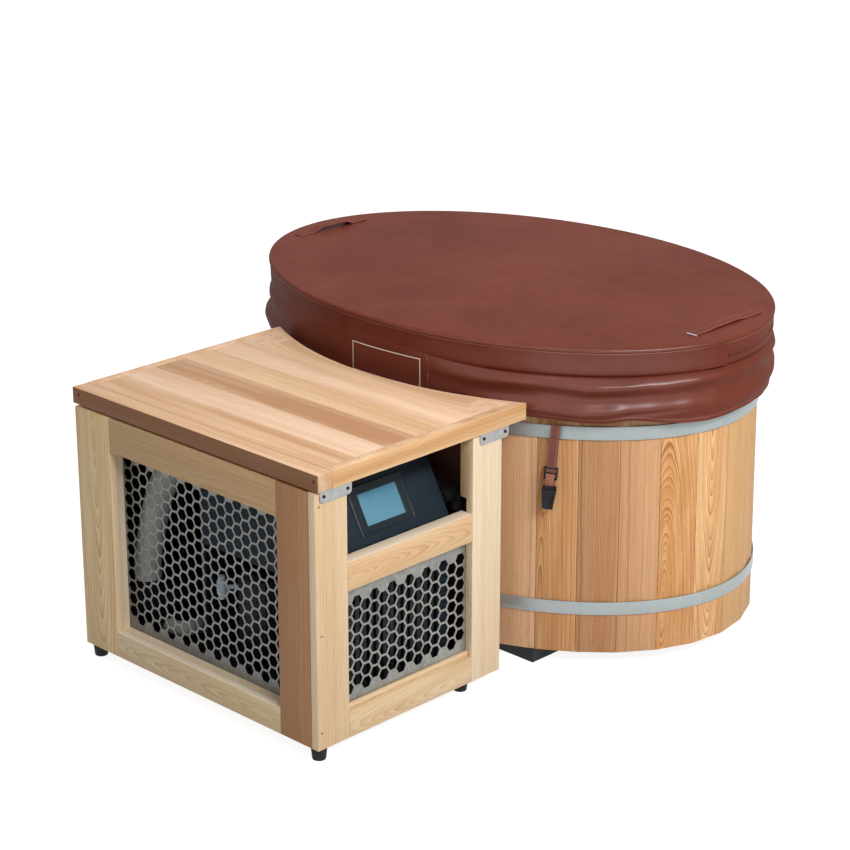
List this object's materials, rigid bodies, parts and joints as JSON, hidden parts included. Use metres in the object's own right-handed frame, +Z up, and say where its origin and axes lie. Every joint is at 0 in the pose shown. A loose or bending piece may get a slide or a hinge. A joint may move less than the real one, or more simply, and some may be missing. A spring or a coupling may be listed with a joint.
{
  "type": "cold plunge tub",
  "caption": "Oval cedar stave plunge tub with hoops and a padded skirted cover, joined to a timber cabinet with hex grilles that houses a water chiller.",
  "frame": {"origin": "middle of the whole footprint, on the floor", "axes": "+X from the cabinet to the tub, +Y from the cabinet front to its back, +Z up"},
  "size_m": [1.5044, 1.3426, 0.7621],
  "materials": {
    "pale_cedar": "planed and clear oiled",
    "brown_cedar": "planed and clear oiled",
    "lid_cedar": "planed and clear oiled",
    "stave_cedar": "planed and clear oiled",
    "galvanised_steel": "dull galvanised",
    "hoop_steel": "satin stainless",
    "black_rubber": "matt",
    "black_plastic": "satin",
    "navy_casing": "satin powder coat",
    "display_glass": "gloss",
    "display_screen": "gloss",
    "fin_metal": "dark coated",
    "black_paint": "satin",
    "grey_foam": "matt",
    "maroon_vinyl": "grained vinyl"
  },
  "bodies": {
    "base": {"front_left_stile": "pale_cedar", "front_right_stile": "pale_cedar", "front_mid_rail": "pale_cedar", "front_lower_rail": "pale_cedar", "front_grille_bead": "pale_cedar", "left_front_stile": "brown_cedar", "left_rear_stile": "pale_cedar", "left_top_rail": "pale_cedar", "left_bottom_rail": "pale_cedar", "back_panel": "pale_cedar", "right_panel": "pale_cedar", "left_stop_frame": "pale_cedar", "left_grille": "galvanised_steel", "front_grille": "galvanised_steel", "cabinet_floor": "pale_cedar", "foot_front_left": "black_rubber", "foot_front_right": "black_rubber", "foot_rear_left": "black_rubber", "foot_rear_right": "black_rubber", "chiller_tray": "black_paint", "chiller_casing": "navy_casing", "display_bezel": "display_glass", "display_screen": "display_screen", "condenser": "fin_metal", "fan_motor": "black_paint", "compressor": "black_paint", "heat_exchanger": "grey_foam", "circulation_pump": "black_paint", "valve_body": "black_plastic", "supply_fitting": "black_plastic", "return_fitting": "black_plastic", "supply_hose": "grey_foam", "return_hose": "grey_foam", "transfer_hose": "grey_foam", "fitting_stave": "stave_cedar", "stave_set_1": "stave_cedar", "stave_set_2": "stave_cedar", "stave_set_3": "stave_cedar", "stave_set_4": "stave_cedar", "stave_set_5": "stave_cedar", "stave_set_6": "stave_cedar", "tub_floor": "stave_cedar", "lower_hoop": "hoop_steel", "upper_hoop": "hoop_steel", "plinth": "black_paint"},
    "lid": {"lid_panel": "lid_cedar", "lid_left_strip": "brown_cedar", "lid_front_strip": "lid_cedar", "lid_back_strip": "lid_cedar", "lid_bracket_left": "galvanised_steel", "lid_bracket_right": "galvanised_steel"},
    "cover": {"cover_pad": "maroon_vinyl", "cover_skirt": "maroon_vinyl", "front_grip": "maroon_vinyl", "back_grip": "maroon_vinyl"},
    "strap": {"cover_strap": "maroon_vinyl", "strap_slider": "black_plastic", "strap_buckle": "black_plastic"},
    "fan": {"fan_rotor": "black_plastic"},
    "valve_handle": {"valve_handle": "black_plastic"}
  },
  "joints": [
    {"name": "lid_lift", "type": "slide", "parent": "base", "child": "lid", "axis": [0, 0, 1], "range_m": [0, 0.4]},
    {"name": "cover_lift", "type": "slide", "parent": "base", "child": "cover", "axis": [0, 0, 1], "range_m": [0, 0.5]},
    {"name": "strap_swing", "type": "hinge", "parent": "cover", "child": "strap", "pos_m": [-0.07472, -0.439, 0.5678], "axis": [-0.5401, 0.8416, 0], "range_deg": [0, 70]},
    {"name": "fan_spin", "type": "hinge", "parent": "base", "child": "fan", "pos_m": [-0.4822, -0.30405, 0.1989], "axis": [0, 1, 0], "continuous": true},
    {"name": "valve_turn", "type": "hinge", "parent": "base", "child": "valve_handle", "pos_m": [-0.2849, -0.35665, 0.44], "axis": [0, 1, 0], "range_deg": [0, 90]}
  ]
}
